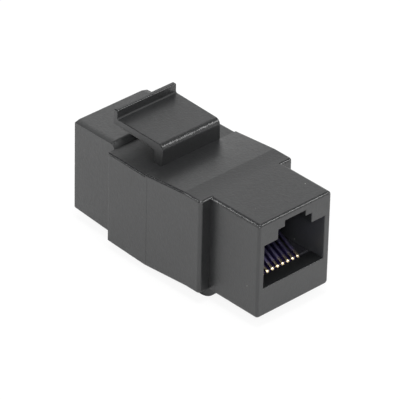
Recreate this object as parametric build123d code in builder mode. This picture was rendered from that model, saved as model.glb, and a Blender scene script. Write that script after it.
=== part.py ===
"""Keystone feed-through coupler with two 8P8C ports, back to back.

Millimetres. X is the width, Y the depth with the front port facing -Y, Z is up.
The origin is under the middle of the coupler, level with the bottom catch.
"""

import os
from math import cos, radians, sin, tan

from build123d import *

# Overall size
overall_length = 39.3
catch_drop = 1.7

# Front block, which fills the window of the wall plate
block_width = 14.3
block_height = 15.8
block_length = 10.0
block_root = 2.0
block_edge_radius = 0.6
block_face_radius = 0.45

# Sleeve behind the shoulder: heights are above the underside of the front block
sleeve_width = 18.2
sleeve_length = 19.9
sleeve_edge_radius = 0.4
shoulder_edge_radius = 0.55
shoulder_base_height = 0.12
crest_depth = 13.65
belly_start_depth = 12.8
ramp_foot_depth = 21.7
ramp_foot_height = 15.05
recess_height = 14.78
belly_drop = 0.65
sleeve_end_drop = 0.4
belly_break_radius = 6.0

# Bottom catch
catch_width = 13.7
catch_start_depth = 8.9
catch_end_depth = 12.9
catch_flat = 0.9

# Rear block
rear_width = 14.3
rear_top_height = 15.2
rear_base_height = 0.07
rear_draft = 2.0
rear_edge_radius = 0.35
rear_bevel_width = 1.0
rear_bevel_height = 0.26
rear_crest_radius = 1.1

# Chambers inside the sleeve
board_chamber_width = 12.8
board_chamber_height = 10.6
tongue_chamber_width = 14.4
tongue_chamber_height = 12.1
tongue_chamber_base = 1.0
tongue_clearance = 0.1
snap_ridge_height = 0.35
snap_ridge_length = 1.6
snap_ridge_span = 6.0
snap_depth_in_sleeve = 4.0
snap_pocket_clearance = 0.1

# Port, measured from its mouth and its floor
port_width = 11.9
port_height = 7.2
port_depth = 12.6
tab_width = 6.6
tab_height = 1.63
tab_depth = 9.0
neck_width = 4.05
neck_height = 0.98
neck_wall = 1.5
front_port_height = 4.8
rear_port_height = 4.4

# Contact carrier
carrier_clearance = 0.1
carrier_drop = 2.4
carrier_wall = 1.7
carrier_base_setback = 6.0
nose_setback = 2.95
nose_thickness = 0.7
comb_depth = 1.0
comb_base_height = 3.6
slot_clearance = 0.06

# Contact wires
contact_count = 8
contact_pitch = 1.016
wire_width = 0.46
wire_thickness = 0.36
beam_angle = 28.0
jog_radius = 0.5
tail_past_board = 0.6

# Circuit board
board_thickness = 1.6
board_clearance = 0.05
board_side_gap = 0.25
hole_clearance = 0.06
board_row_pitch = 1.9

# Snap latch
latch_root_width = 11.4
latch_lip_width = 11.7
latch_root_thickness = 1.85
latch_length = 10.4
latch_rise = 3.57
latch_top_rise = 0.2
latch_root_plate = 1.4
latch_tip_plate = 1.05
latch_front_radius = 0.95
latch_inner_radius = 0.6
lip_thickness = 0.8
lip_height = 1.45
lip_foot_radius = 0.25
lip_top_radius = 0.2
latch_edge_radius = 0.15

# Places that follow from the sizes
front_y = -overall_length / 2
rear_y = overall_length / 2
sleeve_end_depth = block_length + sleeve_length
rear_length = overall_length - sleeve_end_depth
carrier_depth = port_depth + carrier_wall
board_depth = (overall_length - board_thickness) / 2
tongue_front_depth = board_depth + board_thickness + board_clearance
carrier_width = port_width - 2 * carrier_clearance
nose_radius = nose_thickness / 2
hairpin_radius = nose_radius + slot_clearance + wire_thickness / 2
nose_y = nose_setback + nose_radius
nose_z = -slot_clearance / 2 - nose_radius


def y_at(depth):
    """Y at a depth behind the front face."""
    return front_y + depth


def z_at(height):
    """Z at a height above the underside of the front block."""
    return catch_drop + height


def upright(y):
    """Plane across the coupler at y: local x along X, local y along Z, facing the front."""
    return Plane(origin=(0, y, 0), x_dir=(1, 0, 0), z_dir=(0, -1, 0))


# The two jacks are the same jack, the rear one turned half round
jack_places = {
    "front": Location((0, front_y, z_at(front_port_height))),
    "rear": Location((0, rear_y, z_at(rear_port_height)), (0, 0, 180)),
}


def port_core():
    """Everything that a jack takes out of its housing, from a mouth at the origin along +Y."""
    with BuildPart() as core:
        with BuildSketch(upright(0)):
            with Locations((0, port_height / 2)):
                Rectangle(port_width, port_height)
            with Locations((0, port_height + tab_height / 2)):
                Rectangle(tab_width, tab_height)
        extrude(amount=-tab_depth)
        with BuildSketch(upright(0)):
            with Locations((0, port_height + tab_height + neck_height / 2)):
                Rectangle(neck_width, neck_height)
        extrude(amount=-neck_wall)
        with BuildSketch(upright(neck_wall)):
            with Locations((0, port_height + tab_height + neck_height / 2)):
                Rectangle(tab_width, neck_height)
        extrude(amount=-(tab_depth - neck_wall))
        with BuildSketch(upright(0)):
            with Locations((0, port_height / 2)):
                Rectangle(port_width, port_height)
        extrude(amount=-carrier_depth)
        carrier_room = carrier_drop + carrier_clearance
        with BuildSketch(upright(nose_setback - wire_thickness - 2 * slot_clearance)):
            with Locations((0, -carrier_room / 2)):
                Rectangle(port_width, carrier_room)
        extrude(amount=nose_setback - wire_thickness - 2 * slot_clearance - carrier_depth)
    return core.part


def contact_rows():
    """X of each contact in its jack, contact 1 first."""
    middle = (contact_count - 1) / 2
    return [contact_pitch * (middle - i) for i in range(contact_count)]


def contact_wire(x, row_rise):
    """One spring wire in its jack: free tip, hairpin round the nose, run below it, jog to its board row."""
    slope = radians(beam_angle)
    centre = (nose_y, nose_z)
    beam_foot = (centre[0] - hairpin_radius * sin(slope), centre[1] + hairpin_radius * cos(slope))
    tip_y = port_depth + comb_depth / 2
    tip = (tip_y, beam_foot[1] + (tip_y - beam_foot[0]) * tan(slope))
    run_z = nose_z - hairpin_radius
    tail_y = board_depth + board_thickness + tail_past_board
    jog_y = (carrier_depth + board_depth) / 2
    with BuildPart() as wire:
        with BuildSketch(Plane.YZ.offset(x - wire_width / 2)):
            with BuildLine():
                Line(tip, beam_foot)
                ThreePointArc(beam_foot, (centre[0] - hairpin_radius, centre[1]), (centre[0], run_z))
                if row_rise > 2 * jog_radius:
                    corners = [
                        (centre[0], run_z),
                        (jog_y, run_z),
                        (jog_y, run_z + row_rise),
                        (tail_y, run_z + row_rise),
                    ]
                    FilletPolyline(corners, radius=jog_radius)
                else:
                    Line((centre[0], run_z), (tail_y, run_z))
            trace(line_width=wire_thickness)
        extrude(amount=wire_width)
    return wire.part


def contact_carrier():
    """Comb of one jack: rounded nose, base with a channel for each wire, back wall with a slot for each tip."""
    run_z = nose_z - hairpin_radius
    top_z = nose_z + nose_radius
    channel_width = wire_width + 2 * slot_clearance
    channel_height = wire_thickness + 2 * slot_clearance
    with BuildPart() as carrier:
        with BuildSketch(Plane.YZ):
            with BuildLine():
                Line((carrier_base_setback, top_z), (nose_y, top_z))
                ThreePointArc((nose_y, top_z), (nose_setback, nose_z), (nose_y, nose_z - nose_radius))
                Line((nose_y, nose_z - nose_radius), (carrier_base_setback, nose_z - nose_radius))
                Line((carrier_base_setback, nose_z - nose_radius), (carrier_base_setback, top_z))
            make_face()
            with BuildLine():
                Polyline(
                    (carrier_base_setback, top_z),
                    (carrier_base_setback, -carrier_drop),
                    (carrier_depth, -carrier_drop),
                    (carrier_depth, port_height - carrier_clearance),
                    (port_depth, port_height - carrier_clearance),
                    (port_depth, top_z),
                    close=True,
                )
            make_face()
        extrude(amount=carrier_width / 2, both=True)
        rows = contact_rows()
        with BuildSketch(upright(carrier_base_setback)):
            with Locations([(x, run_z) for x in rows]):
                Rectangle(channel_width, channel_height)
        extrude(amount=carrier_base_setback - carrier_depth, mode=Mode.SUBTRACT)
        slot_height = port_height - comb_base_height
        with BuildSketch(upright(port_depth)):
            with Locations([(x, comb_base_height + slot_height / 2) for x in rows]):
                Rectangle(channel_width, slot_height)
        extrude(amount=-comb_depth, mode=Mode.SUBTRACT)
    return carrier.part


def catch_edges():
    """Points of the bottom catch: where its round nose starts, touches the flat, and where the flat ends."""
    start = (y_at(catch_start_depth), z_at(0))
    flat_start = (y_at(catch_end_depth - catch_flat), 0)
    flat_end = (y_at(catch_end_depth), 0)
    return start, flat_start, flat_end


# Lower sleeve at its whole length, from the belly to the recess floor under the latch
with BuildPart() as lower_sleeve:
    with BuildSketch(Plane.YZ) as sleeve_side:
        with BuildLine():
            Polyline(
                (y_at(block_length), z_at(shoulder_base_height)),
                (y_at(belly_start_depth), z_at(shoulder_base_height)),
                (y_at(ramp_foot_depth), z_at(-belly_drop)),
                (y_at(sleeve_end_depth), z_at(-sleeve_end_drop)),
                (y_at(sleeve_end_depth), z_at(recess_height)),
                (y_at(block_length), z_at(recess_height)),
                close=True,
            )
        make_face()
        belly_break = sleeve_side.vertices().sort_by(Axis.Y)[0]
        fillet(belly_break, radius=belly_break_radius)
    extrude(amount=sleeve_width / 2, both=True)
    fillet(lower_sleeve.edges().filter_by(Axis.Z).sort_by(Axis.Y)[:2], radius=shoulder_edge_radius)
    rear_posts = lower_sleeve.edges().filter_by(Axis.Z).sort_by(Axis.Y)[-2:]
    along = lower_sleeve.edges().filter_by(Axis.X, reverse=True).filter_by(Axis.Z, reverse=True)
    fillet(rear_posts + along.filter_by(GeomType.LINE), radius=sleeve_edge_radius)

# Upper sleeve: shoulder, level top and the ramp down to the latch
with BuildPart() as upper_sleeve:
    with BuildSketch(Plane.YZ):
        with BuildLine():
            Polyline(
                (y_at(block_length), z_at(recess_height / 2)),
                (y_at(ramp_foot_depth), z_at(recess_height / 2)),
                (y_at(ramp_foot_depth), z_at(ramp_foot_height)),
                (y_at(crest_depth), z_at(block_height)),
                (y_at(block_length), z_at(block_height)),
                close=True,
            )
        make_face()
    extrude(amount=sleeve_width / 2, both=True)
    fillet(upper_sleeve.edges().filter_by(Axis.Z).sort_by(Axis.Y)[:2], radius=shoulder_edge_radius)
    along = upper_sleeve.edges().filter_by(Axis.X, reverse=True).filter_by(Axis.Z, reverse=True)
    long_edges = along.filter_by_position(Axis.Z, z_at(recess_height), z_at(block_height)).filter_by(GeomType.LINE)
    crown_edge = upper_sleeve.faces().sort_by(Axis.Y)[0].edges().sort_by(Axis.Z)[-1]
    fillet(long_edges + [crown_edge], radius=sleeve_edge_radius)

# Main housing: front block, sleeve and bottom catch in one moulding
with BuildPart() as main_housing:
    with BuildSketch(upright(front_y)):
        with Locations((0, z_at(block_height / 2))):
            RectangleRounded(block_width, block_height, block_edge_radius)
    extrude(amount=-block_length)
    fillet(main_housing.faces().sort_by(Axis.Y)[0].edges(), radius=block_face_radius)
    add(lower_sleeve)
    add(upper_sleeve)
    root_height = block_height - shoulder_base_height
    with BuildSketch(upright(y_at(block_length))):
        with Locations((0, z_at(shoulder_base_height + root_height / 2))):
            Rectangle(block_width - 2 * block_edge_radius, root_height)
    extrude(amount=-block_root)
    nose_start, flat_start, flat_end = catch_edges()
    with BuildSketch(Plane.YZ):
        with BuildLine():
            TangentArc(flat_start, nose_start, tangent=(-1, 0))
            Line(flat_start, flat_end)
            Line(flat_end, (flat_end[0], z_at(1)))
            Line((flat_end[0], z_at(1)), (nose_start[0], z_at(1)))
            Line((nose_start[0], z_at(1)), nose_start)
        make_face()
    extrude(amount=catch_width / 2, both=True)

    # Port, room for the carrier, room for the wires, then the chamber that takes the rear housing
    with Locations(jack_places["front"]):
        add(port_core(), mode=Mode.SUBTRACT)
    chamber_middle = z_at(tongue_chamber_base + tongue_chamber_height / 2)
    with BuildSketch(upright(y_at(carrier_depth))):
        with Locations((0, chamber_middle)):
            Rectangle(board_chamber_width, board_chamber_height)
    extrude(amount=carrier_depth - board_depth, mode=Mode.SUBTRACT)
    with BuildSketch(upright(y_at(board_depth))):
        with Locations((0, chamber_middle)):
            Rectangle(tongue_chamber_width, tongue_chamber_height)
    extrude(amount=board_depth - sleeve_end_depth, mode=Mode.SUBTRACT)

    # Pockets for the snap ridges of the rear housing
    pocket_depth = snap_ridge_height - tongue_clearance + snap_pocket_clearance
    pocket_width = tongue_chamber_width + 2 * pocket_depth
    pocket_length = snap_ridge_length + 2 * snap_pocket_clearance
    pocket_start = sleeve_end_depth - snap_depth_in_sleeve - snap_pocket_clearance
    with BuildSketch(upright(y_at(pocket_start))):
        with Locations((0, chamber_middle)):
            Rectangle(pocket_width, snap_ridge_span + 2 * snap_pocket_clearance)
    extrude(amount=-pocket_length, mode=Mode.SUBTRACT)

# Rear housing: tapered block with the rear port, and a tongue that slides into the sleeve
with BuildPart() as rear_housing:
    rear_height = rear_top_height - rear_base_height
    with BuildSketch(upright(rear_y)):
        with Locations((0, z_at(rear_base_height + rear_height / 2))):
            Rectangle(rear_width, rear_height)
    extrude(amount=rear_length, taper=-rear_draft)
    top_face = rear_housing.faces().sort_by(Axis.Z)[-1]
    top_edges = top_face.edges().sort_by(Axis.X)
    chamfer([top_edges[0], top_edges[-1]], rear_bevel_width, rear_bevel_height, reference=top_face)
    front_edges = rear_housing.faces().sort_by(Axis.Y)[0].edges().sort_by(Axis.Z)
    fillet(front_edges[-3:], radius=rear_crest_radius)
    base_edges = rear_housing.faces().sort_by(Axis.Z)[0].edges().sort_by(Axis.X)
    end_edges = rear_housing.faces().sort_by(Axis.Y)[-1].edges()
    fillet([base_edges[0], base_edges[-1]] + end_edges, radius=rear_edge_radius)

    tongue_width = tongue_chamber_width - 2 * tongue_clearance
    tongue_height = tongue_chamber_height - 2 * tongue_clearance
    with BuildSketch(upright(y_at(tongue_front_depth))):
        with Locations((0, chamber_middle)):
            Rectangle(tongue_width, tongue_height)
    extrude(amount=tongue_front_depth - sleeve_end_depth)
    with BuildSketch(upright(y_at(sleeve_end_depth - snap_depth_in_sleeve))):
        with Locations((0, chamber_middle)):
            Rectangle(tongue_width + 2 * snap_ridge_height, snap_ridge_span)
    extrude(amount=-snap_ridge_length)

    with Locations(jack_places["rear"]):
        add(port_core(), mode=Mode.SUBTRACT)
    with BuildSketch(upright(y_at(tongue_front_depth))):
        with Locations((0, chamber_middle)):
            Rectangle(board_chamber_width, board_chamber_height)
    extrude(amount=tongue_front_depth - (overall_length - carrier_depth), mode=Mode.SUBTRACT)

# Snap latch: root, plate and lip, narrower at the root
with BuildPart() as latch_arm:
    root_y = y_at(ramp_foot_depth)
    inner_y = root_y + latch_root_thickness
    end_y = root_y + latch_length
    lip_y = end_y - lip_thickness
    base_z = z_at(recess_height)
    root_top = base_z + latch_rise
    tip_top = root_top + latch_top_rise
    with BuildSketch(Plane.YZ) as latch_side:
        with BuildLine():
            Polyline(
                (root_y, base_z),
                (root_y, root_top),
                (lip_y, tip_top),
                (lip_y, tip_top + lip_height),
                (end_y, tip_top + lip_height),
                (end_y, tip_top - latch_tip_plate),
                (inner_y, root_top - latch_root_plate),
                (inner_y, base_z),
                close=True,
            )
        make_face()
        corners = latch_side.vertices()
        fillet(corners.sort_by_distance((root_y, root_top))[0], radius=latch_front_radius)
        corners = latch_side.vertices()
        fillet(corners.sort_by_distance((inner_y, root_top - latch_root_plate))[0], radius=latch_inner_radius)
        corners = latch_side.vertices()
        fillet(corners.sort_by_distance((lip_y, tip_top))[0], radius=lip_foot_radius)
        corners = latch_side.vertices()
        fillet(corners.sort_by(Axis.Y)[-2:], radius=lip_top_radius)
    extrude(amount=latch_lip_width / 2, both=True)
    with BuildSketch(Plane.XY):
        with BuildLine():
            Polyline(
                (-latch_root_width / 2, root_y),
                (latch_root_width / 2, root_y),
                (latch_lip_width / 2, end_y),
                (-latch_lip_width / 2, end_y),
                close=True,
            )
        make_face()
    extrude(amount=tip_top + 2 * lip_height, mode=Mode.INTERSECT)
    flanks = latch_arm.faces().sort_by(Axis.X)
    root_edges = latch_arm.faces().sort_by(Axis.Z)[0].edges()
    fillet(flanks[0].edges() + flanks[-1].edges() - root_edges, radius=latch_edge_radius)

# Circuit board between the jacks, with a plated hole for each tail
run_drop = nose_z - hairpin_radius
first_row = front_port_height + run_drop
tail_rows = {
    "front": [first_row, first_row + board_row_pitch],
    "rear": [first_row + 2 * board_row_pitch, first_row + 3 * board_row_pitch],
}
with BuildPart() as circuit_board:
    with BuildSketch(upright(y_at(board_depth))):
        with Locations((0, chamber_middle)):
            Rectangle(
                tongue_chamber_width - 2 * board_side_gap,
                tongue_chamber_height - 2 * board_side_gap,
            )
        hole_width = wire_width + 2 * hole_clearance
        hole_height = wire_thickness + 2 * hole_clearance
        for side, turn in (("front", 1), ("rear", -1)):
            for i, x in enumerate(contact_rows()):
                with Locations((turn * x, z_at(tail_rows[side][i % 2]))):
                    Rectangle(hole_width, hole_height, mode=Mode.SUBTRACT)
    extrude(amount=-board_thickness)

# Export, one file for each node
os.makedirs("parts", exist_ok=True)
main_housing.part.label = "main_housing"
rear_housing.part.label = "rear_housing"
latch_arm.part.label = "latch_arm"
circuit_board.part.label = "circuit_board"
export_step(main_housing.part, "parts/main_housing.step")
export_step(rear_housing.part, "parts/rear_housing.step")
export_step(latch_arm.part, "parts/latch_arm.step")
export_step(circuit_board.part, "parts/circuit_board.step")

port_heights = {"front": front_port_height, "rear": rear_port_height}
for side, place in jack_places.items():
    with BuildPart() as carrier:
        with Locations(place):
            add(contact_carrier())
    carrier.part.label = f"{side}_contact_carrier"
    export_step(carrier.part, f"parts/{carrier.part.label}.step")
    for i, x in enumerate(contact_rows()):
        row_rise = tail_rows[side][i % 2] - port_heights[side] - run_drop
        with BuildPart() as contact:
            with Locations(place):
                add(contact_wire(x, row_rise))
        contact.part.label = f"{side}_contact_{i + 1}"
        export_step(contact.part, f"parts/{contact.part.label}.step")
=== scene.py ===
"""Keystone feed-through coupler: the visible pieces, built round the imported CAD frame."""

import math

import bmesh
import bpy
from mathutils import Matrix, Vector


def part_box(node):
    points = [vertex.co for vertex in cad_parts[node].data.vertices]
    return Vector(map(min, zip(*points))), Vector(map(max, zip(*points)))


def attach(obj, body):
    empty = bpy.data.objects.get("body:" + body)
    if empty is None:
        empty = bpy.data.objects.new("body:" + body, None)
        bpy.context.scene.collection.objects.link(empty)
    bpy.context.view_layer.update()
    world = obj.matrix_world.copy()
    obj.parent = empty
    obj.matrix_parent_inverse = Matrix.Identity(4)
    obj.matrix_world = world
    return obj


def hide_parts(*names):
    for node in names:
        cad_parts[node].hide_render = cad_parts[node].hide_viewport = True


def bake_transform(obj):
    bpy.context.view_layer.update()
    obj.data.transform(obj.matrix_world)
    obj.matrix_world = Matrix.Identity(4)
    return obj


bl_info = {
    "name": "Keystone Feed-Through Coupler",
    "version": (1, 0, 0),
    "blender": (4, 5, 0),
    "location": "3D View > Sidebar > Coupler",
    "description": "Builds an ethernet feed-through coupler, its finishes and its studio on a CAD frame",
    "category": "Object",
}

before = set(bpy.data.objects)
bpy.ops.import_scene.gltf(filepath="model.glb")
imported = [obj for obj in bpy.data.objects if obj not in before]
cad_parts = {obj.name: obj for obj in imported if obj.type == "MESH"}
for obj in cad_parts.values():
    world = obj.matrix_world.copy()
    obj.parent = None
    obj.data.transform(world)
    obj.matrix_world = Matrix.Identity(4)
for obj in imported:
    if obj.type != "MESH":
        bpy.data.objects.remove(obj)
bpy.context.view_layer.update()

MM = 0.001
PHOTO_PIXELS = 400

# Places that the frame gives
BLOCK_LOW, BLOCK_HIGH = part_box("main_housing")
REAR_LOW, REAR_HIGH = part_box("rear_housing")
LATCH_LOW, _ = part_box("latch_arm")
WIRE_LOW, WIRE_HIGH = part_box("front_contact_1")
FRONT_Y = BLOCK_LOW.y
REAR_Y = REAR_HIGH.y
JACKS = ("front", "rear")
CONTACT_COUNT = 8
CONTACTS = {jack: [f"{jack}_contact_{i + 1}" for i in range(CONTACT_COUNT)] for jack in JACKS}

# Depths behind a port's mouth: how far its walls reach, and where a wire's painted violet-grey reflection
# and added roughness start and are full
PORT_REACH = 13.0 * MM
DEEP_WIRE_START = 3.0 * MM
DEEP_WIRE_FULL = 3.9 * MM

# Distances from the middle to either side
PORT_HALF_WIDTH = 6.8 * MM
CONTACTS_HALF_WIDTH = 3.4 * MM
TINT_HALF_WIDTH = 4.0 * MM

# Places of the swell, the witness line and the edges with painted shade, and above a port's roof
SWELL_START = FRONT_Y + 10.5 * MM
SWELL_CREST = FRONT_Y + 13.65 * MM
SWELL_HEIGHT = 0.15 * MM
WITNESS_Y = FRONT_Y + 21.3 * MM
WITNESS_HALF_WIDTH = 0.08 * MM
SHADED_EDGES_START = LATCH_LOW.y - 6.0 * MM
PORT_TOP = BLOCK_LOW.z + 16.3 * MM

# Values of the worn attribute: dull faces, edges rubbed smooth, and edges rubbed and pitted
DULL = -1.0
RUBBED = 0.5
PITTED = 1.0

# Finishes that no setting changes
PLASTIC_IOR = 1.62
PLASTIC_SPECULAR = 0.5
# Painted shade: a lower specular level that darkens the side edges behind the crest
SHADED_EDGE_SPECULAR = 0.22
# Painted light: a lighter grey on a port's walls and roof, so that the deep port reads less dark
PORT_WALL_PAINTED_LIGHT = "#2e2f32"
DUST_COLOUR = "#8f908c"
COMB_TINT = "#2a234a"
COMB_GLOSS = 0.22
# Painted reflection: colour of a wire's beam deeper in the port, for the dark violet it reflects there
WIRE_PAINTED_REFLECTION_COLOUR = "#8d86b0"
MASK_COLOURS = ("#0f4a2c", "#155a36")
WHITE = (1.0, 1.0, 1.0, 1.0)
NOISE_RANGE = (0.3, 0.7)

# Name, azimuth and elevation in degrees, distance and side in metres, power in watts
SOFTBOXES = (
    ("overhead", -46.0, 84.0, 0.9, 0.3, 4.6),
    ("back_right_key", 136.0, 19.0, 0.8, 0.3, 0.3),
    ("left_back", -138.5, 35.6, 0.8, 0.12, 0.6),
    ("right_front", 47.0, 37.5, 0.8, 0.2, 1.0),
    ("camera_side", -46.0, 37.0, 0.8, 0.2, 2.5),
)


def linear(hex_colour):
    """Linear RGBA of an sRGB hex colour."""
    values = [int(hex_colour[i : i + 2], 16) / 255 for i in (1, 3, 5)]
    return [v / 12.92 if v <= 0.04045 else ((v + 0.055) / 1.055) ** 2.4 for v in values] + [1.0]


def add_node(tree, kind, inputs=None, **settings):
    """A new node with its settings, and its inputs set to a value or linked to an output."""
    node = tree.nodes.new(kind)
    for name, value in settings.items():
        setattr(node, name, value)
    for name, value in (inputs or {}).items():
        socket = node.inputs[name]
        if isinstance(value, bpy.types.NodeSocket):
            tree.links.new(value, socket)
        else:
            socket.default_value = value
    return node


# Sizes and colours that a user would change


class CouplerPlastic(bpy.types.PropertyGroup):
    """Moulded plastic of the housings, the latch and the carriers."""

    housing_colour: bpy.props.StringProperty(
        name="Housing colour", description="sRGB hex colour of the housings and latch", default="#161718"
    )
    carrier_colour: bpy.props.StringProperty(
        name="Carrier colour", description="sRGB hex colour of the contact carriers", default="#2a2a2e"
    )
    roughness: bpy.props.FloatProperty(
        name="Roughness", description="Roughness of the moulded faces", default=0.4, min=0.0, max=1.0
    )
    grain: bpy.props.FloatProperty(
        name="Grain", description="Width of the eroded tool's grain", default=0.16 * MM, unit="LENGTH"
    )
    mouth_edge: bpy.props.FloatProperty(
        name="Mouth edge",
        description="Radius of the edge round each port",
        default=0.14 * MM,
        unit="LENGTH",
    )
    side_taper: bpy.props.FloatProperty(
        name="Side taper",
        description="How far each side draws in at the sleeve's rear",
        default=0.1 * MM,
        unit="LENGTH",
    )


class CouplerContacts(bpy.types.PropertyGroup):
    """Spring wires of the two jacks."""

    colour: bpy.props.StringProperty(
        name="Gold colour", description="sRGB hex colour of the plated wires", default="#efdfba"
    )
    count: bpy.props.IntProperty(
        name="Count", description="Wires in a jack", default=CONTACT_COUNT, min=2
    )
    pitch: bpy.props.FloatProperty(
        name="Pitch", description="Distance between wires", default=1.016 * MM, unit="LENGTH"
    )
    width: bpy.props.FloatProperty(
        name="Width", description="Width of a wire", default=WIRE_HIGH.x - WIRE_LOW.x, unit="LENGTH"
    )
    thickness: bpy.props.FloatProperty(
        name="Thickness", description="Thickness of a wire", default=0.36 * MM, unit="LENGTH"
    )
    edge_radius: bpy.props.FloatProperty(
        name="Edge radius", description="Radius of a wire's long edges", default=0.08 * MM, unit="LENGTH"
    )
    bend_radius: bpy.props.FloatProperty(
        name="Bend radius",
        description="Radius of the bends at a wire's middle line",
        default=0.59 * MM,
        unit="LENGTH",
    )
    beam_angle: bpy.props.FloatProperty(
        name="Beam angle", description="Rise of the free beam", default=math.radians(28), subtype="ANGLE"
    )
    tip_depth: bpy.props.FloatProperty(
        name="Tip depth",
        description="Depth of the tip behind the mouth",
        default=13.1 * MM,
        unit="LENGTH",
    )
    jog_depth: bpy.props.FloatProperty(
        name="Jog depth",
        description="Depth of the jog to the board row",
        default=16.575 * MM,
        unit="LENGTH",
    )
    board_row_pitch: bpy.props.FloatProperty(
        name="Board row pitch",
        description="Height between rows of tails",
        default=1.9 * MM,
        unit="LENGTH",
    )


class CouplerStudio(bpy.types.PropertyGroup):
    """Floor, lamps and camera."""

    floor_size: bpy.props.FloatProperty(
        name="Floor size", description="Side of the floor", default=4.0, unit="LENGTH"
    )
    floor_colour: bpy.props.StringProperty(
        name="Floor colour", description="sRGB hex colour of the floor", default="#f4f4f4"
    )
    lamp_level: bpy.props.FloatProperty(
        name="Lamp level", description="Multiplies the power of every lamp", default=1.0, min=0.0
    )
    wall_level: bpy.props.FloatProperty(
        name="Wall level", description="Brightness of the room near the floor", default=0.85, min=0.0
    )
    ceiling_level: bpy.props.FloatProperty(
        name="Ceiling level", description="Brightness of the room overhead", default=0.35, min=0.0
    )
    wall_top: bpy.props.FloatProperty(
        name="Wall top",
        description="Height at which the room starts to dim",
        default=math.radians(25),
        subtype="ANGLE",
    )
    ceiling_edge: bpy.props.FloatProperty(
        name="Ceiling edge",
        description="Height from which the room is dim",
        default=math.radians(60),
        subtype="ANGLE",
    )
    azimuth: bpy.props.FloatProperty(
        name="Azimuth",
        description="Camera's angle round the part",
        default=math.radians(-43.769),
        subtype="ANGLE",
    )
    elevation: bpy.props.FloatProperty(
        name="Elevation",
        description="Camera's height as an angle",
        default=math.radians(32.544),
        subtype="ANGLE",
    )
    roll: bpy.props.FloatProperty(
        name="Roll",
        description="Camera's turn about its line of sight",
        default=math.radians(1.35),
        subtype="ANGLE",
    )
    distance: bpy.props.FloatProperty(
        name="Distance", description="Camera to the point it looks at", default=574.57 * MM, unit="LENGTH"
    )
    focal_pixels: bpy.props.FloatProperty(
        name="Focal length", description="Focal length in pixels of the picture", default=3945.0
    )
    target: bpy.props.FloatVectorProperty(
        name="Target",
        description="Point the camera looks at",
        default=(0.318 * MM, 0.35 * MM, 9.2 * MM),
        unit="LENGTH",
    )


# Finishes


def new_material(name):
    """An empty node material, its tree and its object coordinates."""
    material = bpy.data.materials.new(name)
    material.use_nodes = True
    tree = material.node_tree
    tree.nodes.clear()
    place = add_node(tree, "ShaderNodeTexCoord").outputs["Object"]
    return material, tree, place


def finish_material(tree, shader):
    """Joins a shader to the material's output."""
    add_node(tree, "ShaderNodeOutputMaterial", {"Surface": shader.outputs[0]})


def per(size):
    """Pattern scale that gives features of this size, in metres."""
    return 1.0 / size


def attribute(tree, name):
    """Value of an attribute that the mesh work sets on faces."""
    node = add_node(tree, "ShaderNodeAttribute", attribute_name=name, attribute_type="GEOMETRY")
    return node.outputs["Fac"]


def axis(tree, place, name):
    """One coordinate of a place."""
    return add_node(tree, "ShaderNodeSeparateXYZ", {"Vector": place}).outputs[name]


def calculate(tree, operation, *values):
    """Result of a math node on numbers or outputs."""
    return add_node(tree, "ShaderNodeMath", dict(enumerate(values)), operation=operation).outputs[0]


def ramp(tree, value, low, high, start=0.0, end=1.0, **settings):
    """A value taken from the range low to high to the range start to end, and held beyond both ends."""
    limits = {"Value": value, "From Min": low, "From Max": high, "To Min": start, "To Max": end}
    return add_node(tree, "ShaderNodeMapRange", limits, **settings).outputs["Result"]


def mix_colours(tree, share, first, second):
    """The first colour with a share of the second."""
    return add_node(tree, "ShaderNodeMix", {0: share, 6: first, 7: second}, data_type="RGBA").outputs[2]


def noise(tree, place, size, detail, **inputs):
    """Noise with features of this size, in metres."""
    inputs.update({"Vector": place, "Scale": per(size), "Detail": detail})
    return add_node(tree, "ShaderNodeTexNoise", inputs).outputs["Fac"]


def bump(tree, height, strength, distance, normal=None):
    """Normal of a relief, over another normal if there is one."""
    inputs = {"Height": height, "Strength": strength, "Distance": distance}
    if normal is not None:
        inputs["Normal"] = normal
    return add_node(tree, "ShaderNodeBump", inputs).outputs["Normal"]


def moulded_plastic(name, hex_colour, roughness, grain, tint=None):
    """Black plastic from a spark-eroded tool: even satin sheen, smoother worn edges, stray dust."""
    mottle_size, mottle_depth = 0.6 * MM, 0.04
    rubbing = -0.3
    line_share = 0.5
    material, tree, place = new_material(name)
    worn = attribute(tree, "worn")
    mottle = noise(tree, place, mottle_size, detail=2.0)
    rough = ramp(tree, mottle, *NOISE_RANGE, roughness - mottle_depth, roughness + mottle_depth)
    rubbed = calculate(tree, "MINIMUM", worn, RUBBED)
    line = witness_line(tree, place)
    # A lower specular level darkens the witness line, and paints shade on the side edges behind the crest
    dark = calculate(tree, "MULTIPLY_ADD", line, line_share, attribute(tree, "painted_shade_edge"))
    shader = add_node(
        tree,
        "ShaderNodeBsdfPrincipled",
        {
            "Base Color": dusted(tree, place, plastic_colour(tree, place, linear(hex_colour), tint)),
            "Roughness": calculate(tree, "MULTIPLY_ADD", rubbed, rubbing, rough),
            "IOR": PLASTIC_IOR,
            "Specular IOR Level": ramp(tree, dark, 0.0, 1.0, PLASTIC_SPECULAR, SHADED_EDGE_SPECULAR),
            "Normal": plastic_relief(tree, place, worn, grain),
        },
    )
    finish_material(tree, shader)
    return material


def plastic_colour(tree, place, base, tint):
    """Slow shades of the base colour, a tint where the contacts stand, and painted light: a lighter grey on
    the port walls.
    """
    flow_size = 7.0 * MM
    deepest, brightest = 0.82, 1.2
    deep, bright = ([share * c for c in base[:3]] + [1.0] for share in (deepest, brightest))
    flow = ramp(tree, noise(tree, place, flow_size, detail=3.0), *NOISE_RANGE)
    colour = mix_colours(tree, flow, deep, bright)
    if tint:
        aside = calculate(tree, "ABSOLUTE", axis(tree, place, "X"))
        share = ramp(tree, aside, CONTACTS_HALF_WIDTH, TINT_HALF_WIDTH, 1.0, 0.0)
        colour = mix_colours(tree, share, colour, linear(tint))
    # Painted light: the port walls and roof take the lighter grey
    return mix_colours(tree, attribute(tree, "inside"), colour, linear(PORT_WALL_PAINTED_LIGHT))


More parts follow.
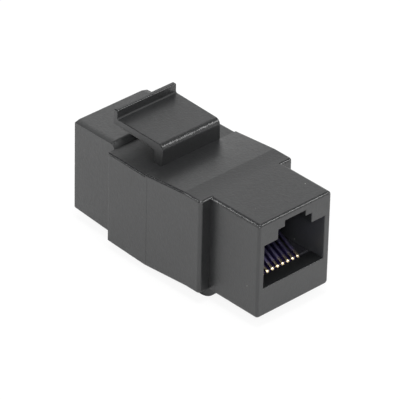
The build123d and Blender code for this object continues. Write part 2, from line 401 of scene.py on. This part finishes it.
def dusted(tree, place, colour):
    """The colour with a speck of dust in some of the cells of a coarse pattern."""
    cell_size = 3.2 * MM
    speck_radius = 0.026
    bare_cells = 0.55
    pattern = {"Vector": place, "Scale": per(cell_size), "Randomness": 1.0}
    cells = add_node(tree, "ShaderNodeTexVoronoi", pattern)
    near = calculate(tree, "LESS_THAN", cells.outputs["Distance"], speck_radius)
    draw = add_node(tree, "ShaderNodeSeparateColor", {"Color": cells.outputs["Color"]}).outputs["Red"]
    chosen = calculate(tree, "GREATER_THAN", draw, bare_cells)
    return mix_colours(tree, calculate(tree, "MULTIPLY", near, chosen), colour, linear(DUST_COLOUR))


def plastic_relief(tree, place, worn, grain):
    """Normal of the plastic: the swell of the level top, shallow pits and the tool's fine grain."""
    pit_size, pit_height, pit_strengths = 0.34 * MM, 0.06 * MM, (0.35, 0.9)
    grain_height, grain_strengths = 0.014 * MM, (0.25, 0.7)
    pitting_start = 0.4
    pits = noise(tree, place, pit_size, detail=1.5)
    pit_strength = ramp(tree, worn, pitting_start, PITTED, *pit_strengths)
    pitted = bump(tree, pits, pit_strength, pit_height, crest_swell(tree, place))
    fine = noise(tree, place, grain, detail=2.0, Roughness=0.6)
    grain_strength = ramp(tree, worn, 0.0, PITTED, *grain_strengths)
    return bump(tree, fine, grain_strength, grain_height, pitted)


def crest_swell(tree, place):
    """Normal of a slight swell of the level top towards its crest, which is in the shading alone."""
    steepening = 1.6
    level_top = BLOCK_HIGH.z - 0.1 * MM
    rise = ramp(tree, axis(tree, place, "Y"), SWELL_START, SWELL_CREST)
    on_top = calculate(tree, "GREATER_THAN", axis(tree, place, "Z"), level_top)
    return bump(tree, calculate(tree, "POWER", rise, steepening), on_top, SWELL_HEIGHT)


def witness_line(tree, place):
    """1 on the fine witness line down each of the sleeve's sides, and 0 elsewhere."""
    outer = BLOCK_HIGH.x - 0.5 * MM
    aside = calculate(tree, "ABSOLUTE", axis(tree, place, "X"))
    on_side = calculate(tree, "GREATER_THAN", aside, outer)
    on_line = calculate(tree, "COMPARE", axis(tree, place, "Y"), WITNESS_Y, WITNESS_HALF_WIDTH)
    return calculate(tree, "MULTIPLY", on_side, on_line)


def plated_wire(name, hex_colour):
    """Hard gold over nickel on drawn bronze wire: pale gold at the bend, and further in a painted
    reflection in violet-grey with a rougher finish.
    """
    line_size, line_roughness = 0.05 * MM, (0.1, 0.22)
    deep_roughness = 0.15
    drawn_out = (1.0, 0.03, 0.03)
    material, tree, place = new_material(name)
    drawn = add_node(tree, "ShaderNodeMapping", {"Vector": place, "Scale": drawn_out})
    lines = noise(tree, drawn.outputs["Vector"], line_size, detail=1.0)
    aside = calculate(tree, "ABSOLUTE", axis(tree, place, "Y"))
    deep_in = ramp(tree, calculate(tree, "SUBTRACT", -FRONT_Y, aside), DEEP_WIRE_START, DEEP_WIRE_FULL)
    rough = ramp(tree, lines, 0.0, 1.0, *line_roughness)
    shader = add_node(
        tree,
        "ShaderNodeBsdfPrincipled",
        {
            # Painted reflection: deeper in the port the gold turns violet-grey
            "Base Color": mix_colours(tree, deep_in, linear(hex_colour), linear(WIRE_PAINTED_REFLECTION_COLOUR)),
            "Metallic": 1.0,
            "Roughness": calculate(tree, "MULTIPLY_ADD", deep_in, deep_roughness, rough),
            "Normal": bump(tree, lines, strength=0.15, distance=0.004 * MM),
        },
    )
    finish_material(tree, shader)
    return material


def glass_laminate(name):
    """Epoxy glass board under green solder mask: glossy lacquer with the weave faintly through it."""
    material, tree, place = new_material(name)
    weave_size = 1.6 * MM
    waves = {"Vector": place, "Scale": per(weave_size), "Distortion": 0.4}
    weave = add_node(tree, "ShaderNodeTexWave", waves, bands_direction="X").outputs["Fac"]
    dark, light = (linear(colour) for colour in MASK_COLOURS)
    shader = add_node(
        tree,
        "ShaderNodeBsdfPrincipled",
        {
            "Base Color": mix_colours(tree, weave, dark, light),
            "Roughness": 0.28,
            "Coat Weight": 0.4,
            "Coat Roughness": 0.1,
            "Normal": bump(tree, weave, strength=0.1, distance=0.01 * MM),
        },
    )
    finish_material(tree, shader)
    return material


def paper_floor(name, hex_colour, keep_shadow, clear_radius):
    """Matt white paper: plain white to the eye but for a trace of shadow, and real to all other rays."""
    material, tree, place = new_material(name)
    paper = add_node(tree, "ShaderNodeBsdfDiffuse", {"Color": linear(hex_colour)})
    white = add_node(tree, "ShaderNodeEmission", {"Color": WHITE, "Strength": 1.0})
    away = add_node(tree, "ShaderNodeVectorMath", {0: place}, operation="LENGTH").outputs["Value"]
    fade_start = 0.3 * clear_radius
    plain = ramp(
        tree, away, fade_start, clear_radius, 1.0 - keep_shadow, 1.0, interpolation_type="SMOOTHSTEP"
    )
    seen = add_node(tree, "ShaderNodeLightPath").outputs["Is Camera Ray"]
    share = calculate(tree, "MULTIPLY", seen, plain)
    mixed = add_node(tree, "ShaderNodeMixShader", {0: share, 1: paper.outputs[0], 2: white.outputs[0]})
    finish_material(tree, mixed)
    return material


# Mesh work


def add_object(name, mesh):
    """A new object at the origin."""
    obj = bpy.data.objects.new(name, mesh)
    bpy.context.scene.collection.objects.link(obj)
    return obj


def mended_copy(node):
    """The CAD node's faces as one joined mesh with flat faces whole, for a piece that replaces it."""
    touching = 0.0005 * MM
    level = math.radians(0.15)
    bm = bmesh.new()
    bm.from_mesh(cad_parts[node].data)
    bmesh.ops.remove_doubles(bm, verts=bm.verts, dist=touching)
    bmesh.ops.dissolve_limit(bm, angle_limit=level, verts=bm.verts, edges=bm.edges)
    bm.normal_update()
    return bm


def round_mouth(bm, face_y, low, high, radius):
    """Rounds the sharp edge where a port opens in the face at face_y of a housing with these corners."""
    rim = 0.8 * MM
    touching = 0.01 * MM
    steep = math.radians(40)
    sharp = []
    for edge in bm.edges:
        if len(edge.link_faces) != 2 or edge.calc_face_angle() < steep:
            continue
        ends = [v.co for v in edge.verts]
        on_face = all(abs(p.y - face_y) < touching for p in ends)
        across = all(low.x + rim < p.x < high.x - rim for p in ends)
        upright = all(low.z + rim < p.z < high.z - rim for p in ends)
        if on_face and across and upright:
            sharp.append(edge)
    if not sharp:
        raise RuntimeError("no mouth edge was found")
    bmesh.ops.bevel(
        bm,
        geom=sharp,
        offset=radius,
        offset_type="OFFSET",
        segments=3,
        profile=0.5,
        affect="EDGES",
        clamp_overlap=False,
    )


def cut_level(bm, point, normal):
    """Cuts every face along a plane, so that each side of it can bend by itself."""
    everything = bm.verts[:] + bm.edges[:] + bm.faces[:]
    bmesh.ops.bisect_plane(bm, geom=everything, plane_co=point, plane_no=normal, dist=1e-7)


def taper_sides(bm, start_y, high, amount):
    """Draws the sleeve's outer sides in from start_y to its rear end."""
    wall = 1.2 * MM
    cut_level(bm, (0, start_y, 0), (0, 1, 0))
    for v in bm.verts:
        if v.co.y > start_y and abs(v.co.x) > high.x - wall:
            share = (v.co.y - start_y) / (high.y - start_y)
            v.co.x -= math.copysign(amount * share, v.co.x)
    bm.normal_update()


def mark_edges(bm, wear):
    """Marks narrow rounded faces: the wear on outer edges that face up, and dull in hollows and behind.

    The edges with painted shade run along both sides, behind the crest: a lower specular level darkens
    them.
    """
    flat = math.cos(math.radians(18))
    gentle = math.radians(50)
    backwards, upwards, sideways = 0.2, 0.15, 0.25
    worn = bm.faces.layers.float.new("worn")
    dark = bm.faces.layers.float.new("painted_shade_edge")
    for face in bm.faces:
        way = face.normal
        if max(abs(c) for c in way) > flat:
            continue
        joined = [e for e in face.edges if len(e.link_faces) == 2]
        turns = [(e.calc_face_angle_signed(), e.calc_length()) for e in joined]
        bulge = sum(turn * length for turn, length in turns if abs(turn) < gentle)
        if bulge < 0 or way.y > backwards:
            face[worn] = DULL
        elif way.z > upwards:
            face[worn] = wear
        # Painted shade: side edges behind the crest are marked to be darkened
        if min(abs(way.x), way.z) > sideways and face.calc_center_median().y > SHADED_EDGES_START:
            face[dark] = 1.0


def mark_port_painted_light(bm, face_y, inward):
    """Marks the walls and roof of a port, which get a lighter grey as painted light."""
    mouth = 0.05 * MM
    floor_tilt = 0.5
    inside = bm.faces.layers.float.new("inside")
    for face in bm.faces:
        spots = [v.co for v in face.verts]
        nearest = min((p.y - face_y) * inward for p in spots)
        narrow = max(abs(p.x) for p in spots) < PORT_HALF_WIDTH
        low = max(p.z for p in spots) < PORT_TOP
        if mouth < nearest < PORT_REACH and narrow and low and face.normal.z < floor_tilt:
            face[inside] = 1.0


def crease(bm):
    """Makes edges sharp where faces meet steeply, and where two broad flats meet at a slight angle."""
    steep = math.radians(32)
    least, most = math.radians(1), math.radians(10)
    broad = 1.5 * MM * MM
    for face in bm.faces:
        face.smooth = True
    for edge in bm.edges:
        if len(edge.link_faces) != 2:
            edge.smooth = False
            continue
        turn = edge.calc_face_angle()
        flats = min(f.calc_area() for f in edge.link_faces) > broad
        edge.smooth = turn < steep and not (flats and least < turn < most)


def corner_normals(bm):
    """A normal for each face corner: broad faces round it keep theirs, so that only the fillets bend."""
    area = {face: face.calc_area() for face in bm.faces}
    normals = []
    for face in bm.faces:
        for loop in face.loops:
            fan, waiting = {face}, [face]
            while waiting:
                current = waiting.pop()
                for edge in current.edges:
                    if loop.vert in edge.verts and edge.smooth:
                        fresh = [f for f in edge.link_faces if f not in fan]
                        fan.update(fresh)
                        waiting.extend(fresh)
            top = max(area[f] for f in fan)
            total = Vector((0, 0, 0))
            for f in fan:
                total += f.normal * (area[f] / top) ** 2
            normals.append(total.normalized())
    return normals


def make_piece(name, bm, material, body, nodes, wear=RUBBED):
    """Turns the mesh into a smooth-shaded piece that stands for its CAD nodes, with this edge wear."""
    bm.normal_update()
    mark_edges(bm, wear)
    crease(bm)
    normals = corner_normals(bm)
    mesh = bpy.data.meshes.new(name)
    bm.to_mesh(mesh)
    bm.free()
    mesh.normals_split_custom_set(normals)
    obj = add_object(name, mesh)
    mesh.materials.append(material)
    if body:
        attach(obj, body)
    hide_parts(*nodes)
    return obj


# Contact rows in geometry nodes


def contact_row_tree():
    """Node tree: two wire paths in, a comb of plated wires out, odd and even wires on their own path."""
    tree = bpy.data.node_groups.new("Contact row", "GeometryNodeTree")
    face = tree.interface
    face.new_socket("Paths", in_out="INPUT", socket_type="NodeSocketGeometry")
    sizes = (
        ("Count", "NodeSocketInt"),
        ("First", "NodeSocketVector"),
        ("Step", "NodeSocketVector"),
        ("Wire Width", "NodeSocketFloat"),
        ("Wire Thickness", "NodeSocketFloat"),
        ("Edge Radius", "NodeSocketFloat"),
        ("Bend Radius", "NodeSocketFloat"),
        ("Finish", "NodeSocketMaterial"),
    )
    for name, kind in sizes:
        face.new_socket(name, in_out="INPUT", socket_type=kind)
    face.new_socket("Wires", in_out="OUTPUT", socket_type="NodeSocketGeometry")

    given = add_node(tree, "NodeGroupInput").outputs
    bent = add_node(
        tree,
        "GeometryNodeFilletCurve",
        {"Curve": given["Paths"], "Count": 14, "Radius": given["Bend Radius"], "Limit Radius": True},
        mode="POLY",
    )
    upright = add_node(
        tree,
        "GeometryNodeSetCurveNormal",
        {"Curve": bent.outputs[0], "Normal": (1.0, 0.0, 0.0)},
        mode="FREE",
    )
    section = add_node(
        tree,
        "GeometryNodeCurvePrimitiveQuadrilateral",
        {"Width": given["Wire Width"], "Height": given["Wire Thickness"]},
    )
    section = add_node(
        tree,
        "GeometryNodeFilletCurve",
        {"Curve": section.outputs[0], "Count": 3, "Radius": given["Edge Radius"], "Limit Radius": True},
        mode="POLY",
    )
    index = add_node(tree, "GeometryNodeInputIndex").outputs[0]
    first_path = add_node(tree, "FunctionNodeCompare", {2: index, 3: 0}, data_type="INT", operation="EQUAL")
    paths = add_node(
        tree,
        "GeometryNodeSeparateGeometry",
        {"Geometry": upright.outputs[0], "Selection": first_path.outputs[0]},
        domain="CURVE",
    )
    row = add_node(
        tree,
        "GeometryNodeMeshLine",
        {"Count": given["Count"], "Start Location": given["First"], "Offset": given["Step"]},
        mode="OFFSET",
    )
    parity = add_node(tree, "FunctionNodeIntegerMath", {0: index, 1: 2}, operation="MODULO")
    joined = add_node(tree, "GeometryNodeJoinGeometry")
    for turn in (0, 1):
        wire = add_node(
            tree,
            "GeometryNodeCurveToMesh",
            {"Curve": paths.outputs[turn], "Profile Curve": section.outputs[0], "Fill Caps": True},
        )
        chosen = add_node(
            tree, "FunctionNodeCompare", {2: parity.outputs[0], 3: turn}, data_type="INT", operation="EQUAL"
        )
        placed = add_node(
            tree,
            "GeometryNodeInstanceOnPoints",
            {"Points": row.outputs[0], "Selection": chosen.outputs[0], "Instance": wire.outputs[0]},
        )
        tree.links.new(placed.outputs[0], joined.inputs[0])
    real = add_node(tree, "GeometryNodeRealizeInstances", {"Geometry": joined.outputs[0]})
    painted = add_node(
        tree, "GeometryNodeSetMaterial", {"Geometry": real.outputs[0], "Material": given["Finish"]}
    )
    add_node(tree, "NodeGroupOutput", {"Wires": painted.outputs[0]})
    return tree


def contact_paths(name, corners):
    """A curve object with one path for each list of corners, in the plane X = 0."""
    curve = bpy.data.curves.new(name, "CURVE")
    curve.dimensions = "3D"
    for points in corners:
        spline = curve.splines.new("POLY")
        spline.points.add(len(points) - 1)
        for target, (y, z) in zip(spline.points, points):
            target.co = (0.0, y, z, 1.0)
    return add_object(name, curve)


def jack_frame(jack):
    """Mouth, direction inwards, height of the wires' lower run, and X of contact 1 for one jack."""
    first_low, first_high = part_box(CONTACTS[jack][0])
    mouth, inward = (FRONT_Y, 1.0) if jack == "front" else (REAR_Y, -1.0)
    return mouth, inward, first_low.z, (first_low.x + first_high.x) / 2


def wire_corners(jack, sizes):
    """Corners of the two wire paths of a jack: tip, hairpin, jog and tail, as Y and Z.

    The rear jack's tails end in the two rows of the board above the front jack's.
    """
    mouth, inward, run_low, _ = jack_frame(jack)
    run_z = run_low + sizes.thickness / 2
    nose_depth = (WIRE_LOW.y - FRONT_Y) + sizes.bend_radius + sizes.thickness / 2
    corner_depth = nose_depth - sizes.bend_radius / math.tan(sizes.beam_angle / 2)
    tip_z = run_z + (sizes.tip_depth - corner_depth) * math.tan(sizes.beam_angle)
    tail_depth = WIRE_HIGH.y - FRONT_Y
    paths = []
    for odd in (0, 1):
        rise = odd * sizes.board_row_pitch
        if jack == "rear":
            rise += 2 * sizes.board_row_pitch + (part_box(CONTACTS["front"][0])[0].z - run_low)
        steps = [(sizes.tip_depth, tip_z), (corner_depth, run_z)]
        if rise > sizes.thickness:
            steps += [(sizes.jog_depth, run_z), (sizes.jog_depth, run_z + rise)]
        steps.append((tail_depth, run_z + rise))
        paths.append([(mouth + inward * depth, z) for depth, z in steps])
    return paths


# Operators, one for each piece or group of like pieces


class COUPLER_OT_housing(bpy.types.Operator):
    """Builds the front housing with its rounded port mouth"""

    bl_idname = "coupler.housing"
    bl_label = "Front housing"

    def execute(self, context):
        plastic = context.scene.coupler_plastic
        bm = mended_copy("main_housing")
        round_mouth(bm, FRONT_Y, BLOCK_LOW, BLOCK_HIGH, plastic.mouth_edge)
        taper_sides(bm, LATCH_LOW.y, BLOCK_HIGH, plastic.side_taper)
        mark_port_painted_light(bm, FRONT_Y, 1)
        black = finishes["housing"]
        make_piece("front_housing", bm, black, "coupler", ["main_housing"])
        return {"FINISHED"}


class COUPLER_OT_rear_housing(bpy.types.Operator):
    """Builds the rear housing with its rounded port mouth"""

    bl_idname = "coupler.rear_housing"
    bl_label = "Rear housing"

    def execute(self, context):
        plastic = context.scene.coupler_plastic
        bm = mended_copy("rear_housing")
        round_mouth(bm, REAR_Y, REAR_LOW, REAR_HIGH, plastic.mouth_edge)
        mark_port_painted_light(bm, REAR_Y, -1)
        black = finishes["housing"]
        make_piece("rear_block", bm, black, "coupler", ["rear_housing"], DULL)
        return {"FINISHED"}


class COUPLER_OT_latch(bpy.types.Operator):
    """Builds the springy snap latch, which bends out of the housing at its root"""

    bl_idname = "coupler.latch"
    bl_label = "Snap latch"

    def execute(self, context):
        foot = LATCH_LOW.z
        bend_height = 1.8 * MM
        root_depth = 0.3 * MM
        cuts = 12
        downwards = -0.99
        bm = mended_copy("latch_arm")
        flat = [f for f in bm.faces if f.normal.z < downwards]
        sole = [f for f in flat if f.calc_center_median().z < foot + 0.01 * MM]
        sunk = bmesh.ops.extrude_face_region(bm, geom=sole)
        moved = [v for v in sunk["geom"] if isinstance(v, bmesh.types.BMVert)]
        bmesh.ops.translate(bm, verts=moved, vec=(0, 0, -root_depth))
        bmesh.ops.delete(bm, geom=sole, context="FACES_ONLY")
        for i in range(cuts + 1):
            cut_level(bm, (0, 0, foot + bend_height * i / cuts), (0, 0, 1))
        bm.normal_update()
        black = finishes["housing"]
        piece = make_piece("snap_latch", bm, black, None, ["latch_arm"], PITTED)
        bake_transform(piece)
        return {"FINISHED"}


class COUPLER_OT_carriers(bpy.types.Operator):
    """Builds the two combs that hold the contacts"""

    bl_idname = "coupler.carriers"
    bl_label = "Contact carriers"

    def execute(self, context):
        for jack in JACKS:
            node = f"{jack}_contact_carrier"
            bm = mended_copy(node)
            make_piece(f"{jack}_comb", bm, finishes["carrier"], "coupler", [node])
        return {"FINISHED"}


class COUPLER_OT_contacts(bpy.types.Operator):
    """Builds the two rows of plated spring wires"""

    bl_idname = "coupler.contacts"
    bl_label = "Contact rows"

    def execute(self, context):
        steep = math.radians(40)
        sizes = context.scene.coupler_contacts
        tree = contact_row_tree()
        for jack in JACKS:
            _, _, _, first_x = jack_frame(jack)
            paths = contact_paths(f"{jack}_paths", wire_corners(jack, sizes))
            modifier = paths.modifiers.new("Wires", "NODES")
            modifier.node_group = tree
            values = {
                "Count": sizes.count,
                "First": (first_x, 0.0, 0.0),
                "Step": (-math.copysign(sizes.pitch, first_x), 0.0, 0.0),
                "Wire Width": sizes.width,
                "Wire Thickness": sizes.thickness,
                "Edge Radius": sizes.edge_radius,
                "Bend Radius": sizes.bend_radius,
                "Finish": finishes["gold"],
            }
            for socket in tree.interface.items_tree:
                if socket.item_type == "SOCKET" and socket.name in values:
                    modifier[socket.identifier] = values[socket.name]
            bpy.context.view_layer.update()
            seen = paths.evaluated_get(bpy.context.evaluated_depsgraph_get())
            mesh = bpy.data.meshes.new_from_object(seen)
            mesh.name = f"{jack}_contact_row"
            bpy.data.objects.remove(paths)
            mesh.shade_smooth()
            mesh.set_sharp_from_angle(angle=steep)
            row = add_object(f"{jack}_contact_row", mesh)
            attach(row, "coupler")
            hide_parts(*CONTACTS[jack])
        return {"FINISHED"}


class COUPLER_OT_board(bpy.types.Operator):
    """Finishes the circuit board between the jacks"""

    bl_idname = "coupler.board"
    bl_label = "Circuit board"

    def execute(self, context):
        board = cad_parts["circuit_board"]
        board.data.materials.clear()
        board.data.materials.append(finishes["board"])
        return {"FINISHED"}


class COUPLER_OT_studio(bpy.types.Operator):
    """Builds the floor, the soft lamps and the camera"""

    bl_idname = "coupler.studio"
    bl_label = "Studio"

    def execute(self, context):
        studio = context.scene.coupler_studio
        build_floor(studio)
        build_world(context.scene, studio)
        for lamp in SOFTBOXES:
            build_softbox(studio, *lamp)
        build_camera(studio)
        context.scene.view_settings.view_transform = "Standard"
        return {"FINISHED"}


def direction(azimuth, elevation):
    """Unit vector towards an azimuth and elevation, azimuth 0 in front of the part."""
    level = math.cos(elevation)
    return Vector((math.sin(azimuth) * level, -math.cos(azimuth) * level, math.sin(elevation)))


def build_floor(studio):
    """A large sheet of white paper under the part."""
    bm = bmesh.new()
    bmesh.ops.create_grid(bm, x_segments=4, y_segments=4, size=studio.floor_size / 2)
    mesh = bpy.data.meshes.new("paper_floor")
    bm.to_mesh(mesh)
    bm.free()
    finish = paper_floor("Matt white paper", studio.floor_colour, keep_shadow=0.12, clear_radius=0.2)
    mesh.materials.append(finish)
    add_object("paper_floor", mesh)


def build_world(scene, studio):
    """A white room, brightest near the floor and dimmer overhead, and plain white to the eye."""
    world = bpy.data.worlds.new("White studio")
    scene.world = world
    world.use_nodes = True
    tree = world.node_tree
    tree.nodes.clear()
    place = add_node(tree, "ShaderNodeTexCoord").outputs["Generated"]
    height = axis(tree, place, "Z")
    low, high = math.sin(studio.wall_top), math.sin(studio.ceiling_edge)
    level = ramp(
        tree, height, low, high, studio.wall_level, studio.ceiling_level, interpolation_type="SMOOTHSTEP"
    )
    room = add_node(tree, "ShaderNodeBackground", {"Color": WHITE, "Strength": level})
    white = add_node(tree, "ShaderNodeBackground", {"Color": WHITE, "Strength": 1.0})
    seen = add_node(tree, "ShaderNodeLightPath").outputs["Is Camera Ray"]
    mixed = add_node(tree, "ShaderNodeMixShader", {0: seen, 1: room.outputs[0], 2: white.outputs[0]})
    add_node(tree, "ShaderNodeOutputWorld", {"Surface": mixed.outputs[0]})


def build_softbox(studio, name, azimuth, elevation, distance, side, power):
    """A square soft lamp aimed at the part."""
    lamp = bpy.data.lights.new(name, "AREA")
    lamp.shape = "SQUARE"
    lamp.size = side
    lamp.energy = power * studio.lamp_level
    obj = add_object(name, lamp)
    way = direction(math.radians(azimuth), math.radians(elevation))
    obj.location = Vector(studio.target) + distance * way
    obj.rotation_euler = way.to_track_quat("Z", "Y").to_euler()


def build_camera(studio):
    """The photograph's camera: long lens, from the front left and above."""
    data = bpy.data.cameras.new("photo_view")
    data.sensor_fit = "HORIZONTAL"
    data.sensor_width = 36.0
    data.lens = studio.focal_pixels * data.sensor_width / PHOTO_PIXELS
    data.clip_start = 10 * MM
    data.clip_end = 50.0
    way = direction(studio.azimuth, studio.elevation)
    right = Vector((0, 0, 1)).cross(way).normalized()
    up = way.cross(right)
    turned_right = math.cos(studio.roll) * right + math.sin(studio.roll) * up
    turned_up = way.cross(turned_right)
    rows = Matrix((turned_right, turned_up, way)).transposed().to_4x4()
    camera = add_object("photo_view", data)
    camera.matrix_world = Matrix.Translation(Vector(studio.target) + studio.distance * way) @ rows
    bpy.context.scene.camera = camera


class COUPLER_PT_panel(bpy.types.Panel):
    """Lists the pieces of the coupler and their sizes"""

    bl_idname = "COUPLER_PT_panel"
    bl_label = "Coupler"
    bl_space_type = "VIEW_3D"
    bl_region_type = "UI"
    bl_category = "Coupler"

    def draw(self, context):
        for name, group in GROUPS.items():
            box = self.layout.box()
            for setting in group.__annotations__:
                box.prop(getattr(context.scene, name), setting)
        for operator in OPERATORS:
            self.layout.operator(operator.bl_idname)


GROUPS = {
    "coupler_plastic": CouplerPlastic,
    "coupler_contacts": CouplerContacts,
    "coupler_studio": CouplerStudio,
}
OPERATORS = (
    COUPLER_OT_housing,
    COUPLER_OT_rear_housing,
    COUPLER_OT_latch,
    COUPLER_OT_carriers,
    COUPLER_OT_contacts,
    COUPLER_OT_board,
    COUPLER_OT_studio,
)
finishes = {}


def register():
    """Registers the groups, operators and panel."""
    for name, group in GROUPS.items():
        bpy.utils.register_class(group)
        setattr(bpy.types.Scene, name, bpy.props.PointerProperty(type=group))
    for operator in OPERATORS:
        bpy.utils.register_class(operator)
    bpy.utils.register_class(COUPLER_PT_panel)


def unregister():
    """Takes them away again."""
    bpy.utils.unregister_class(COUPLER_PT_panel)
    for operator in reversed(OPERATORS):
        bpy.utils.unregister_class(operator)
    for name, group in GROUPS.items():
        delattr(bpy.types.Scene, name)
        bpy.utils.unregister_class(group)


def build_finishes(scene):
    """Makes every material once."""
    plastic = scene.coupler_plastic
    finishes["housing"] = moulded_plastic(
        "Black ABS, spark-eroded grain", plastic.housing_colour, plastic.roughness, plastic.grain
    )
    finishes["carrier"] = moulded_plastic(
        "Black nylon, fine grain",
        plastic.carrier_colour,
        plastic.roughness - COMB_GLOSS,
        plastic.grain / 2,
        COMB_TINT,
    )
    finishes["gold"] = plated_wire("Gold-plated bronze wire", scene.coupler_contacts.colour)
    finishes["board"] = glass_laminate("Epoxy glass board, green mask")


def main():
    """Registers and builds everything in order."""
    register()
    build_finishes(bpy.context.scene)
    for operator in OPERATORS:
        group, name = operator.bl_idname.split(".")
        getattr(getattr(bpy.ops, group), name)()


if __name__ == "__main__":
    main()
